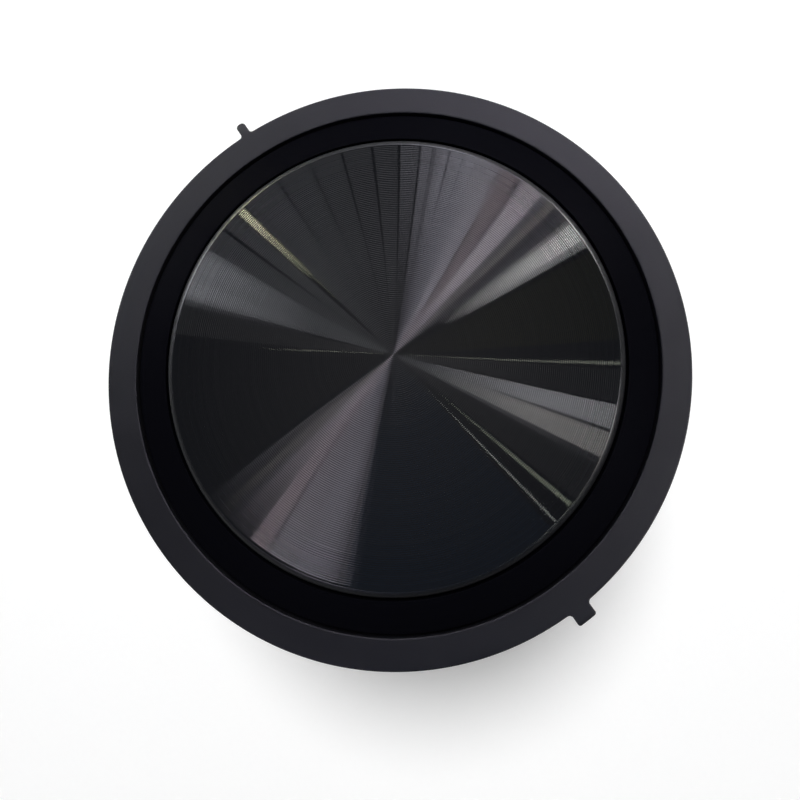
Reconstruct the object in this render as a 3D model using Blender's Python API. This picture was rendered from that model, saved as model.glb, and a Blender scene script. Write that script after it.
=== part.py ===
"""A survey prism in its round canister, with a bayonet hood ring round the ringed glass face.

Units are metres. +Z is the optical axis, running out of the glass towards the viewer, and the
canister stands on the rear face of its back cap, with the origin at the middle of that face.
"""

import math

import bmesh
import bpy
import numpy as np
from mathutils import Matrix

MM = 0.001

# Driving sizes: the ring's outside and face, the glass and how far it stands out of the face
RING_RADIUS = 39.0 * MM
FACE_Z = 63.6 * MM
GLASS_RADIUS = 30.1 * MM
GLASS_RISE = 2.0 * MM
FIT = 0.3 * MM  # clearance between neighbouring pieces

# Hood ring: flat front face and a skirt over the canister's spigot
FACE_INNER_RADIUS = 35.1 * MM
FACE_EDGE_ROUND = 0.5 * MM
HEAD_FLOOR_Z = FACE_Z - 3.0 * MM
HEAD_HEIGHT = 6.5 * MM
SKIRT_RADIUS = 38.0 * MM
SPIGOT_RADIUS = 35.6 * MM
SKIRT_INNER_RADIUS = SPIGOT_RADIUS + FIT
SKIRT_FOOT_Z = 44.8 * MM

# Two unlike lugs on the ring's rim, opposite each other: bearing, width, reach, corner, root fillet
NARROW_LUG = (124.5, 1.15 * MM, 1.9 * MM, 0.5 * MM, 0.5 * MM)
WIDE_LUG = (306.3, 2.6 * MM, 1.65 * MM, 0.35 * MM, 0.55 * MM)
LUG_TOP_Z = FACE_Z - 0.2 * MM
LUG_HEIGHT = 4.6 * MM
LUG_ROOT = 1.5 * MM  # how far a lug is sunk into the ring

# Bayonet: pins in the spigot, L-shaped slots through the skirt
BAYONET_COUNT = 3
BAYONET_FIRST = 35.0  # bearing of the first pin, degrees
BAYONET_TURN = 30.0  # degrees from locked to free
PIN_RADIUS = 1.5 * MM
PIN_Z = 49.3 * MM
PIN_INNER = 33.3 * MM
PIN_OUTER = SKIRT_RADIUS - 0.3 * MM
SLOT_HALF_WIDTH = PIN_RADIUS + 0.4 * MM

# Prism glass: ringed face, chamfered rim, holding flange and corner-cube back
GLASS_FACE_Z = FACE_Z + GLASS_RISE
RIM_CHAMFER = 0.9 * MM
RIM_CHAMFER_DROP = 0.6 * MM
FACE_RINGS = 10  # each modelled ring stands for several of the fine ones
RING_DEPTH = 0.25 * MM
FLANGE_RADIUS = 33.0 * MM
FLANGE_TOP_Z = FACE_Z - 1.6 * MM
FLANGE_THICKNESS = 1.6 * MM
BARREL_RADIUS = 31.0 * MM
BARREL_LEAST = 0.8 * MM  # shortest stretch of barrel left below the flange
FACE_SLOPE = math.sqrt(2.0)  # rise per radius along the middle of a cube face
EDGE_SLOPE = math.sqrt(0.5)  # rise per radius along a cube edge
APEX_Z = FLANGE_TOP_Z - FLANGE_THICKNESS - BARREL_LEAST - FACE_SLOPE * BARREL_RADIUS

# Retaining ring: a low black shoulder between the hood's face and the glass, with a skirt that
# screws into the canister outside the glass flange
SHOULDER_OUTER = FACE_INNER_RADIUS - FIT
SHOULDER_FOOT_Z = FACE_Z - FIT
SHOULDER_INNER = GLASS_RADIUS + 0.4 * MM
SHOULDER_TOP_Z = FACE_Z + 1.2 * MM
SHOULDER_BULGE = 0.25 * MM  # how far the shoulder's curve stands above its chord
CLAMP_Z = FLANGE_TOP_Z + 0.9 * MM
RETAINER_LIP_Z = FACE_Z - 2.6 * MM
RETAINER_OUTER = FLANGE_RADIUS + 1.2 * MM
RETAINER_INNER = FLANGE_RADIUS + FIT
RETAINER_FOOT_Z = FACE_Z - 7.6 * MM

# Canister body
BORE_RADIUS = BARREL_RADIUS + 0.4 * MM
SEAT_RADIUS = FLANGE_RADIUS
SEAT_Z = 59.0 * MM
SPIGOT_INNER = RETAINER_OUTER + FIT
SPIGOT_TOP_Z = HEAD_FLOOR_Z - 0.4 * MM
SHOULDER_Z = SKIRT_FOOT_Z - FIT
CONE_TOP_Z = 39.5 * MM
CONE_FOOT_Z = 28.0 * MM
NECK_RADIUS = 26.0 * MM
NECK_BORE_RADIUS = 20.3 * MM
BORE_FOOT_Z = 37.5 * MM
CAP_THICKNESS = 6.0 * MM
NECK_FOOT_Z = CAP_THICKNESS + FIT
EDGE_BREAK = 0.6 * MM

# Seals: two round cords in grooves and two flat rings at the glass flange
HOOD_SEAL_Z = 53.4 * MM
SEAL_RADIUS = 0.6 * MM
SEAL_GROOVE_DEPTH = 1.5 * MM
SEAL_GROOVE_HALF = 0.8 * MM
FLAT_SEAL_INNER = BARREL_RADIUS + 0.3 * MM
BACK_SEAL_Z = 9.0 * MM

# Sprung cradle that presses the glass forwards
CUSHION_INNER = 10.0 * MM
CUSHION_OUTER = 17.2 * MM
CUSHION_RADIUS = 18.2 * MM
CRADLE_RADIUS = 19.9 * MM
CRADLE_HOLE = 9.0 * MM
CRADLE_FOOT_Z = 18.4 * MM
CRADLE_FLOOR = 1.6 * MM
CRADLE_RIM_Z = 24.5 * MM
SPRING_INNER = 14.0 * MM
SPRING_OUTER = 19.3 * MM
SPRING_THICKNESS = 0.5 * MM
SPRING_WAVE = 1.2 * MM
SPRING_WAVES = 4
SPRING_Z = 16.35 * MM

# Back cap with its threaded brass insert and four screws
CAP_SPIGOT_RADIUS = NECK_BORE_RADIUS - 0.4 * MM
CAP_SPIGOT_Z = 14.2 * MM
CAP_RELIEF = (13.2 * MM, 16.4 * MM, 8.0 * MM)  # inner radius, outer radius, floor height
INSERT_RADIUS = 10.5 * MM
INSERT_WAIST = 9.7 * MM
INSERT_BORE = 6.75 * MM  # minor radius of a 5/8 in, 11 threads per inch socket
INSERT_TOP_Z = 12.0 * MM
INSERT_SUNK = 0.2 * MM
SCREW_COUNT = 4
SCREW_CIRCLE = 23.0 * MM
SCREW_FIRST = 45.0
SCREW_RADIUS = 1.25 * MM
SCREW_HEAD_RADIUS = 2.3 * MM
SCREW_SUNK = 0.15 * MM
SCREW_TIP_Z = 13.0 * MM
SCREW_KEY = 1.5 * MM  # across the flats of the hexagon socket
SCREW_KEY_DEPTH = 0.9 * MM

# Facets round a full turn
SIDES = 56
GLASS_SIDES = 50
CAP_SIDES = 48
INNER_SIDES = 36
SMALL_SIDES = 16
WELD = 1e-6


def linear(channel):
    """One sRGB channel, 0 to 255, as linear light."""
    value = channel / 255
    return value / 12.92 if value <= 0.04045 else ((value + 0.055) / 1.055) ** 2.4


def finish(name, hex_colour, roughness, metallic=0.0):
    """A Principled material in one colour."""
    material = bpy.data.materials.new(name)
    material.use_nodes = True
    shader = material.node_tree.nodes["Principled BSDF"]
    channels = [linear(int(hex_colour[i : i + 2], 16)) for i in (1, 3, 5)]
    shader.inputs["Base Color"].default_value = (*channels, 1.0)
    shader.inputs["Roughness"].default_value = roughness
    shader.inputs["Metallic"].default_value = metallic
    return material


def placed(name, shape, material=None):
    """Turns a bmesh into an object under the root empty, smooth except at its sharp edges."""
    bmesh.ops.recalc_face_normals(shape, faces=shape.faces)
    mesh = bpy.data.meshes.new(name)
    shape.to_mesh(mesh)
    shape.free()
    mesh.shade_smooth()
    mesh.set_sharp_from_angle(angle=math.radians(30))
    made = bpy.data.objects.new(name, mesh)
    bpy.context.scene.collection.objects.link(made)
    made.parent = bpy.data.objects["survey_prism"]
    if material:
        mesh.materials.append(material)
    else:
        made.hide_render = True
        made.display_type = "WIRE"
    return made


def turned_shape(outline, sides):
    """A closed outline of (radius, height) points turned once round Z."""
    shape = bmesh.new()
    points = [shape.verts.new((radius, 0.0, height)) for radius, height in outline]
    pairs = zip(points, points[1:] + points[:1])
    edges = [shape.edges.new(pair) for pair in pairs if max(v.co.x for v in pair) > 0]
    bmesh.ops.spin(
        shape, geom=points + edges, axis=(0, 0, 1), angle=2 * math.pi, steps=sides, use_merge=True
    )
    bmesh.ops.remove_doubles(shape, verts=shape.verts, dist=WELD)
    return shape


def turned(name, outline, material=None, sides=SIDES):
    return placed(name, turned_shape(outline, sides), material)


def arc(centre, radius, start, end, steps):
    """Points along an arc, its angles in degrees from the outward direction."""
    angles = np.radians(np.linspace(start, end, steps + 1))
    return [(centre[0] + radius * math.cos(a), centre[1] + radius * math.sin(a)) for a in angles]


def sector(name, inner, outer, start, end, low, high):
    """A cutter bent round Z between two radii, two bearings in degrees and two heights."""
    shape = bmesh.new()
    corners = ((inner, low), (outer, low), (outer, high), (inner, high))
    face = shape.faces.new([shape.verts.new((r, 0.0, z)) for r, z in corners])
    bmesh.ops.rotate(shape, verts=shape.verts, matrix=Matrix.Rotation(math.radians(start), 3, "Z"))
    geometry = [*face.verts, *face.edges, face]
    steps = max(2, round((end - start) / 4))
    bmesh.ops.spin(
        shape, geom=geometry, axis=(0, 0, 1), angle=math.radians(end - start), steps=steps
    )
    return placed(name, shape)


def post(name, radius, low, high, material=None, sides=SMALL_SIDES, edge=0.0):
    """A round bar along Z, with an optional chamfer at both ends."""
    outline = [(0, high), (radius - edge, high), (radius, high - edge)]
    outline += [(radius, low + edge), (radius - edge, low), (0, low)]
    if edge == 0:
        outline = [(0, high), (radius, high), (radius, low), (0, low)]
    return turned(name, outline, material, sides)


def combine(target, other, operation):
    """Adds a Boolean of the other object, which then stays out of the model."""
    modifier = target.modifiers.new(f"{operation.lower()} {other.name}", "BOOLEAN")
    modifier.operation = operation
    modifier.object = other
    modifier.solver = "EXACT"
    other.hide_render = True
    other.display_type = "WIRE"


def bearings(count, first):
    return [first + 360.0 * i / count for i in range(count)]


def lug(name, bearing, width, reach, corner, fillet):
    """A rounded lug with a filleted root, drawn in plan and extruded down from just below the face."""
    half = width / 2
    side = [(half + fillet, -LUG_ROOT)]
    side += arc((half + fillet, fillet), fillet, 270, 180, 4)
    side += arc((half - corner, reach - corner), corner, 0, 90, 4)
    outline = side + [(-across, out) for across, out in reversed(side)]
    shape = bmesh.new()
    corners = [shape.verts.new((RING_RADIUS + out, across, LUG_TOP_Z)) for across, out in outline]
    bmesh.ops.remove_doubles(shape, verts=shape.verts, dist=WELD)
    face = shape.faces.new([v for v in corners if v.is_valid])
    grown = bmesh.ops.extrude_face_region(shape, geom=[face])
    moved = [item for item in grown["geom"] if isinstance(item, bmesh.types.BMVert)]
    bmesh.ops.translate(shape, verts=moved, vec=(0, 0, -LUG_HEIGHT))
    made = placed(name, shape)
    made.rotation_euler.z = math.radians(bearing)
    return made


def hood_ring(material):
    """The turned ring, with its two lugs joined on and three bayonet slots cut through its skirt."""
    outline = [(FACE_INNER_RADIUS, FACE_Z)]
    round_centre = (RING_RADIUS - FACE_EDGE_ROUND, FACE_Z - FACE_EDGE_ROUND)
    outline += arc(round_centre, FACE_EDGE_ROUND, 90, 0, 3)
    outline += [
        (RING_RADIUS, FACE_Z - HEAD_HEIGHT),
        (SKIRT_RADIUS, FACE_Z - HEAD_HEIGHT - EDGE_BREAK),
        (SKIRT_RADIUS, SKIRT_FOOT_Z),
        (SKIRT_INNER_RADIUS, SKIRT_FOOT_Z),
        (SKIRT_INNER_RADIUS, HEAD_FLOOR_Z),
        (FACE_INNER_RADIUS, HEAD_FLOOR_Z),
    ]
    ring = turned("hood_ring", outline, material)
    combine(ring, lug("narrow_lug", *NARROW_LUG), "UNION")
    combine(ring, lug("wide_lug", *WIDE_LUG), "UNION")
    end_room = math.degrees(SLOT_HALF_WIDTH / SKIRT_RADIUS)
    inner, outer = SKIRT_INNER_RADIUS - 0.5 * MM, SKIRT_RADIUS + 0.5 * MM
    low, high = PIN_Z - SLOT_HALF_WIDTH, PIN_Z + SLOT_HALF_WIDTH
    for i, bearing in enumerate(bearings(BAYONET_COUNT, BAYONET_FIRST), 1):
        free = bearing - BAYONET_TURN
        along = sector(f"slot_along_{i}", inner, outer, free - end_room, bearing + end_room, low, high)
        entry_foot = SKIRT_FOOT_Z - 1.0 * MM
        entry = sector(
            f"slot_entry_{i}", inner, outer, free - end_room, free + end_room, entry_foot, PIN_Z
        )
        combine(ring, along, "DIFFERENCE")
        combine(ring, entry, "DIFFERENCE")


def bayonet_pins(material):
    """Steel pins that stand out of the spigot into the hood ring's slots."""
    for i, bearing in enumerate(bearings(BAYONET_COUNT, BAYONET_FIRST), 1):
        pin = post(f"bayonet_pin_{i}", PIN_RADIUS, PIN_INNER, PIN_OUTER, material, edge=FIT)
        pin.rotation_euler = (0, math.radians(90), math.radians(bearing))
        pin.location.z = PIN_Z


def prism_glass(material):
    """The round glass: ringed face and flange turned as one, then cut to a cube corner behind."""
    face_radius = GLASS_RADIUS - RIM_CHAMFER
    pitch = face_radius / FACE_RINGS
    outline = []
    for i in range(FACE_RINGS):
        outline += [(i * pitch, GLASS_FACE_Z), ((i + 0.5) * pitch, GLASS_FACE_Z - RING_DEPTH)]
    outline += [
        (face_radius, GLASS_FACE_Z),
        (GLASS_RADIUS, GLASS_FACE_Z - RIM_CHAMFER_DROP),
        (GLASS_RADIUS, FLANGE_TOP_Z),
        (FLANGE_RADIUS, FLANGE_TOP_Z),
        (FLANGE_RADIUS, FLANGE_TOP_Z - FLANGE_THICKNESS),
        (BARREL_RADIUS, FLANGE_TOP_Z - FLANGE_THICKNESS),
        (BARREL_RADIUS, APEX_Z - 1.0 * MM),
        (0, APEX_Z - 1.0 * MM),
    ]
    glass = turned("prism_glass", outline, material, GLASS_SIDES)
    corner = bmesh.new()
    rise = 1.2 * (GLASS_FACE_Z - APEX_Z)
    apex = corner.verts.new((0, 0, APEX_Z))
    reach = rise / EDGE_SLOPE
    tips = []
    for bearing in np.radians(bearings(3, 90)):
        tip = (reach * math.cos(bearing), reach * math.sin(bearing), APEX_Z + rise)
        tips.append(corner.verts.new(tip))
    corner.faces.new(tips)
    for first, second in zip(tips, tips[1:] + tips[:1]):
        corner.faces.new((apex, first, second))
    combine(glass, placed("cube_corner", corner), "INTERSECT")


def retaining_ring(material):
    """The black shoulder round the glass: it clamps the flange and screws into the canister."""
    share = np.linspace(0, 1, 4)
    across = SHOULDER_INNER + (SHOULDER_OUTER - SHOULDER_INNER) * share
    up = SHOULDER_TOP_Z + (SHOULDER_FOOT_Z - SHOULDER_TOP_Z) * share
    up += SHOULDER_BULGE * 4 * share * (1 - share)
    outline = [(float(r), float(z)) for r, z in zip(across, up)]
    outline += [
        (SHOULDER_OUTER, RETAINER_LIP_Z),
        (RETAINER_OUTER, RETAINER_LIP_Z),
        (RETAINER_OUTER, RETAINER_FOOT_Z),
        (RETAINER_INNER, RETAINER_FOOT_Z),
        (RETAINER_INNER, CLAMP_Z),
        (SHOULDER_INNER, CLAMP_Z),
    ]
    turned("retaining_ring", outline, material)


def canister_body(material):
    """The bell-shaped shell: spigot, thread groove and seat in front, cone round the glass, neck behind."""
    cone_slope = 1 / EDGE_SLOPE
    groove_radius = SPIGOT_RADIUS - SEAL_GROOVE_DEPTH
    outline = [
        (SPIGOT_INNER, SPIGOT_TOP_Z),
        (SPIGOT_RADIUS - FIT, SPIGOT_TOP_Z),
        (SPIGOT_RADIUS, SPIGOT_TOP_Z - FIT),
        (SPIGOT_RADIUS, HOOD_SEAL_Z + SEAL_GROOVE_HALF),
        (groove_radius, HOOD_SEAL_Z + SEAL_GROOVE_HALF),
        (groove_radius, HOOD_SEAL_Z - SEAL_GROOVE_HALF),
        (SPIGOT_RADIUS, HOOD_SEAL_Z - SEAL_GROOVE_HALF),
        (SPIGOT_RADIUS, SHOULDER_Z),
        (SKIRT_RADIUS - EDGE_BREAK, SHOULDER_Z),
        (SKIRT_RADIUS, SHOULDER_Z - EDGE_BREAK),
        (SKIRT_RADIUS, CONE_TOP_Z),
        (NECK_RADIUS, CONE_FOOT_Z),
        (NECK_RADIUS, NECK_FOOT_Z),
        (NECK_BORE_RADIUS, NECK_FOOT_Z),
        (NECK_BORE_RADIUS, BORE_FOOT_Z - (BORE_RADIUS - NECK_BORE_RADIUS) / cone_slope),
        (BORE_RADIUS, BORE_FOOT_Z),
        (BORE_RADIUS, SEAT_Z),
        (SEAT_RADIUS, SEAT_Z),
        (SEAT_RADIUS, RETAINER_FOOT_Z - 0.4 * MM),
        (SPIGOT_INNER, RETAINER_FOOT_Z - 0.4 * MM),
    ]
    body = turned("canister_body", outline, material)
    for i, bearing in enumerate(bearings(BAYONET_COUNT, BAYONET_FIRST), 1):
        inner, outer = BORE_RADIUS - 1.0 * MM, SPIGOT_RADIUS + 1.0 * MM
        hole = post(f"pin_hole_{i}", PIN_RADIUS + FIT, inner, outer)
        hole.rotation_euler = (0, math.radians(90), math.radians(bearing))
        hole.location.z = PIN_Z
        combine(body, hole, "DIFFERENCE")
    for i, (x, y) in enumerate(screw_places(), 1):
        hole = post(f"tapped_hole_{i}", SCREW_RADIUS + FIT, 0, SCREW_TIP_Z + 1.0 * MM)
        hole.location.xy = (x, y)
        combine(body, hole, "DIFFERENCE")


def round_seal(name, centre_radius, height, material):
    turned(name, arc((centre_radius, height), SEAL_RADIUS, 360, 60, 5), material, CAP_SIDES)


def flat_seal(name, low, high, material):
    inner, outer = FLAT_SEAL_INNER, FLANGE_RADIUS + 0.1 * MM
    turned(name, [(inner, high), (outer, high), (outer, low), (inner, low)], material, INNER_SIDES)


def seals(material):
    """Round cords on the spigot and the cap, flat rings on each side of the glass flange."""
    round_seal("hood_seal", SPIGOT_RADIUS - SEAL_RADIUS - 0.05 * MM, HOOD_SEAL_Z, material)
    round_seal("back_seal", CAP_SPIGOT_RADIUS - SEAL_RADIUS - 0.05 * MM, BACK_SEAL_Z, material)
    flat_seal("front_gasket", FLANGE_TOP_Z + 0.25 * MM, CLAMP_Z - 0.25 * MM, material)
    flat_seal("seat_gasket", SEAT_Z + FIT, FLANGE_TOP_Z - FLANGE_THICKNESS - FIT, material)


def prism_cushion(material):
    """A rubber cone on which the three cube edges rest."""
    drop = FIT / math.cos(math.atan(EDGE_SLOPE))
    top = [(r, APEX_Z + EDGE_SLOPE * r - drop) for r in (CUSHION_INNER, CUSHION_OUTER)]
    foot = CRADLE_FOOT_Z + CRADLE_FLOOR + FIT
    outline = [*top, (CUSHION_RADIUS, top[1][1]), (CUSHION_RADIUS, foot), (CUSHION_INNER, foot)]
    turned("prism_cushion", outline, material, INNER_SIDES)


def prism_cradle(material):
    """The cup that carries the cushion and slides in the neck."""
    floor = CRADLE_FOOT_Z + CRADLE_FLOOR
    wall = CUSHION_RADIUS + FIT
    outline = [(wall, CRADLE_RIM_Z), (CRADLE_RADIUS, CRADLE_RIM_Z), (CRADLE_RADIUS, CRADLE_FOOT_Z)]
    outline += [(CRADLE_HOLE, CRADLE_FOOT_Z), (CRADLE_HOLE, floor), (wall, floor)]
    turned("prism_cradle", outline, material, INNER_SIDES)


def wave_spring(material):
    """A flat ring bent into waves round its length, which pushes the cradle forwards."""
    low, high = SPRING_Z - SPRING_THICKNESS / 2, SPRING_Z + SPRING_THICKNESS / 2
    outline = [(SPRING_INNER, high), (SPRING_OUTER, high), (SPRING_OUTER, low), (SPRING_INNER, low)]
    shape = turned_shape(outline, SIDES)
    for vertex in shape.verts:
        bearing = math.atan2(vertex.co.y, vertex.co.x)
        vertex.co.z += SPRING_WAVE * math.cos(SPRING_WAVES * bearing)
    placed("wave_spring", shape, material)


def screw_places():
    angles = np.radians(bearings(SCREW_COUNT, SCREW_FIRST))
    return [(SCREW_CIRCLE * math.cos(a), SCREW_CIRCLE * math.sin(a)) for a in angles]


def countersunk(grow):
    """Outline of a countersunk screw, or of its hole when grown."""
    head, shank = SCREW_HEAD_RADIUS + grow, SCREW_RADIUS + grow
    low = -1.0 * MM if grow else SCREW_SUNK
    flat = SCREW_SUNK + 0.3 * MM
    neck = flat + SCREW_HEAD_RADIUS - SCREW_RADIUS
    tip = SCREW_TIP_Z + grow
    return [(0, tip), (shank, tip), (shank, neck), (head, flat), (head, low), (0, low)]


def back_cap(material):
    """The rear cover: plate, spigot with a seal groove, and a blind pocket for the insert."""
    pocket, pocket_top = INSERT_RADIUS + FIT, INSERT_TOP_Z + FIT
    relief_inner, relief_outer, relief_floor = CAP_RELIEF
    groove = CAP_SPIGOT_RADIUS - SEAL_GROOVE_DEPTH
    outline = [
        (0, CAP_SPIGOT_Z),
        (relief_inner, CAP_SPIGOT_Z),
        (relief_inner, relief_floor),
        (relief_outer, relief_floor),
        (relief_outer, CAP_SPIGOT_Z),
        (CAP_SPIGOT_RADIUS, CAP_SPIGOT_Z),
        (CAP_SPIGOT_RADIUS, BACK_SEAL_Z + SEAL_GROOVE_HALF),
        (groove, BACK_SEAL_Z + SEAL_GROOVE_HALF),
        (groove, BACK_SEAL_Z - SEAL_GROOVE_HALF),
        (CAP_SPIGOT_RADIUS, BACK_SEAL_Z - SEAL_GROOVE_HALF),
        (CAP_SPIGOT_RADIUS, CAP_THICKNESS),
        (NECK_RADIUS, CAP_THICKNESS),
        (NECK_RADIUS, EDGE_BREAK),
        (NECK_RADIUS - EDGE_BREAK, 0),
        (pocket, 0),
        (pocket, pocket_top),
        (0, pocket_top),
    ]
    cap = turned("back_cap", outline, material, CAP_SIDES)
    for i, (x, y) in enumerate(screw_places(), 1):
        hole = turned(f"screw_hole_{i}", countersunk(FIT), sides=SMALL_SIDES)
        hole.location.xy = (x, y)
        combine(cap, hole, "DIFFERENCE")


def threaded_insert(material):
    """The brass bush in the cap, with a waist that locks it in the moulding."""
    low, high = INSERT_SUNK, INSERT_TOP_Z
    third = (high - low) / 3
    outline = [
        (INSERT_BORE, high),
        (INSERT_RADIUS, high),
        (INSERT_RADIUS, high - third),
        (INSERT_WAIST, high - third - EDGE_BREAK),
        (INSERT_WAIST, low + third + EDGE_BREAK),
        (INSERT_RADIUS, low + third),
        (INSERT_RADIUS, low),
        (INSERT_BORE + EDGE_BREAK, low),
        (INSERT_BORE, low + EDGE_BREAK),
    ]
    turned("threaded_insert", outline, material, INNER_SIDES)


def cap_screws(material):
    """Countersunk screws that hold the cap to the neck, each with a hexagon socket."""
    for i, (x, y) in enumerate(screw_places(), 1):
        screw = turned(f"cap_screw_{i}", countersunk(0), material, SMALL_SIDES)
        socket_top = SCREW_SUNK + SCREW_KEY_DEPTH
        socket_radius = SCREW_KEY / math.sqrt(3)
        socket = post(f"screw_socket_{i}", socket_radius, -1.0 * MM, socket_top, sides=6)
        screw.location.xy = socket.location.xy = (x, y)
        combine(screw, socket, "DIFFERENCE")


def main():
    for old in list(bpy.data.objects):
        bpy.data.objects.remove(old)
    root = bpy.data.objects.new("survey_prism", None)
    bpy.context.scene.collection.objects.link(root)
    black = finish("black moulded plastic", "#2b2b2f", 0.55)
    rubber = finish("black rubber", "#141416", 0.8)
    steel = finish("stainless steel", "#b9bbbd", 0.3, 1.0)
    hood_ring(black)
    bayonet_pins(steel)
    prism_glass(finish("dark ringed glass", "#1b1d1f", 0.12))
    retaining_ring(finish("black anodised aluminium", "#0c0c0e", 0.4))
    canister_body(black)
    seals(rubber)
    prism_cushion(rubber)
    prism_cradle(finish("grey nylon", "#5a5b5e", 0.5))
    wave_spring(steel)
    back_cap(black)
    threaded_insert(finish("brass", "#b08d4a", 0.35, 1.0))
    cap_screws(steel)


main()
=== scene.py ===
# %% [markdown]
# # A survey prism in its canister
# A surveyor aims at this prism from far away, and the glass sends the beam straight back. From the
# front it is a black plastic hood ring round a low black shoulder, with a dark glass disc of very
# fine rings on top, and behind that a bell-shaped canister screws onto a pole. The solids come from
# the CAD model. This lesson dresses them with finer surfaces, materials and light, and leaves the
# outer size as it is.

# %% Load the fixed frame
import math

import bmesh
import bpy
import numpy as np
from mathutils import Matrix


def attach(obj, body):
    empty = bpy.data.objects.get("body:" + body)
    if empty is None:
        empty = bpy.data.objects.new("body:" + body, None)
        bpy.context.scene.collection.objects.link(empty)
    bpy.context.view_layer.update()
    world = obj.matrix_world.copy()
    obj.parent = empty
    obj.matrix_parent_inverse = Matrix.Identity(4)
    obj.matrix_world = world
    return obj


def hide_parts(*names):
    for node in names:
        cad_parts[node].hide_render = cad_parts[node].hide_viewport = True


MM = 0.001
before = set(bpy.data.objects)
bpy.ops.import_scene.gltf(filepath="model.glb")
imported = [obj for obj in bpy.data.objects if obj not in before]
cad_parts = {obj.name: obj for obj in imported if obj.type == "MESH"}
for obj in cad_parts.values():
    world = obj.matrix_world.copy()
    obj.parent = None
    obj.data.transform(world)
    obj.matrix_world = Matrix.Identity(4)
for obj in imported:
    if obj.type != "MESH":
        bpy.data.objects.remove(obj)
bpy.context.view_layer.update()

# %% [markdown]
# ## The camera
# The picture was taken from close by, almost straight above the front face, so circles at different
# heights slide against each other. A long lens further away would line them up and lose the height
# of the glass. The camera is therefore put at a measured place, given as multiples of the ring's
# radius from the middle of the front face, and the lens follows from a focal length in pixels of an
# 800 pixel picture. The small shift is how far the picture was cropped off centre.

# %% Camera
RING_RADIUS, FACE_Z = 39.0, 63.6  # all lengths below are in millimetres
SENSOR, FOCAL_PIXELS, PICTURE_PIXELS = 36.0, 640, 800
camera_place = np.array([0.2552, -0.2838, 2.1624]) * RING_RADIUS + [0, 0, FACE_Z]
camera = bpy.data.objects.new("camera", bpy.data.cameras.new("camera"))
camera.data.sensor_width = SENSOR
camera.data.lens = FOCAL_PIXELS / PICTURE_PIXELS * SENSOR
camera.data.shift_x, camera.data.shift_y = -0.055, -0.095
camera.data.clip_start = 0.005
camera.location = camera_place * MM
camera.rotation_euler = (math.radians(10.334), math.radians(2.342), 0)
bpy.context.scene.collection.objects.link(camera)
bpy.context.scene.camera = camera
bpy.context.scene.view_settings.view_transform = "Standard"
print("camera at", np.round(camera_place, 1), "mm, lens", camera.data.lens, "mm")

# %% [markdown]
# ## Colours and nodes
# Colours are written as sRGB hex, as a paint shop would, and Cycles works in linear light, so one
# function converts them. Node trees are easier to read when every node is added in the same way, so
# one function makes a node, sets it up and joins its inputs.

# %% Colour and node helpers
def colour(text):
    """sRGB hex to linear RGBA: c / 12.92 if c <= 0.04045, else ((c + 0.055) / 1.055) ** 2.4."""
    c = np.array([int(text[i : i + 2], 16) for i in (1, 3, 5)]) / 255
    light = np.where(c <= 0.04045, c / 12.92, ((c + 0.055) / 1.055) ** 2.4)
    return (*light.tolist(), 1.0)


def add(tree, kind, inputs={}, stops=(), **settings):
    """Adds a node: settings are its properties, inputs are values or the sockets that feed it."""
    node = tree.nodes.new(kind)
    for name, value in settings.items():
        setattr(node, name, value)
    for element, (place, shade) in zip(node.color_ramp.elements if stops else (), stops):
        element.position, element.color = place, shade
    for name, value in inputs.items():
        if isinstance(value, bpy.types.NodeSocket):
            tree.links.new(value, node.inputs[name])
        else:
            node.inputs[name].default_value = value
    return node


def new_finish(name):
    """A new material: its node tree, its Principled shader and the Object coordinates, in metres."""
    material = bpy.data.materials.new(name)
    material.use_nodes = True
    tree = material.node_tree
    place = add(tree, "ShaderNodeTexCoord").outputs["Object"]
    return material, tree, tree.nodes["Principled BSDF"], place


print("black plastic in linear light:", np.round(colour("#1c1c1f")[:3], 4))

# %% [markdown]
# ## Matte black plastic
# The hood ring is moulded ABS. Its mould was spark-eroded, which leaves a fine even grain, so the
# face scatters light and shows a broad soft sheen. A photograph of grain would repeat, so noise on
# the Object coordinates gives the grain as bump, and slower noise moves the roughness a little,
# as handling does. The real grain is about 0.05 mm. It is drawn at 0.2 mm so that it shows.

# %% Matte black ABS
matte_black, tree, shader, place = new_finish("matte black ABS, spark-eroded")
grain = add(tree, "ShaderNodeTexNoise", {"Vector": place, "Scale": 1 / (0.2 * MM), "Detail": 3.0})
rubbed = add(tree, "ShaderNodeTexNoise", {"Vector": place, "Scale": 1 / (9 * MM), "Detail": 4.0})
tone = add(tree, "ShaderNodeValToRGB", {"Fac": rubbed.outputs["Fac"]},
           stops=[(0.3, colour("#09090c")), (0.7, colour("#0c0c0f"))])
gloss = add(tree, "ShaderNodeMapRange", {"Value": rubbed.outputs["Fac"], "From Min": 0.3,
                                         "From Max": 0.7, "To Min": 0.45, "To Max": 0.51})
bump = add(tree, "ShaderNodeBump", {"Height": grain.outputs["Fac"], "Distance": 0.03 * MM,
                                    "Strength": 0.5})
tree.links.new(tone.outputs["Color"], shader.inputs["Base Color"])
tree.links.new(gloss.outputs["Result"], shader.inputs["Roughness"])
tree.links.new(bump.outputs["Normal"], shader.inputs["Normal"])
shader.inputs["Specular IOR Level"].default_value = 0.23
shader.inputs["Specular Tint"].default_value = colour("#f4f5ff")
print("made", matte_black.name)

# %% [markdown]
# ## Dull black metal
# The shoulder round the glass is turned aluminium, anodised black and dull so that stray light does
# not reach the prism. The dye goes deep into the pores, so the surface is darker than paint, and the
# open pores give back far less of a shine than plastic does: a nearly black colour, hardly any
# specular level, and noise that runs round the turning for the tool marks left under the dye.

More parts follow.
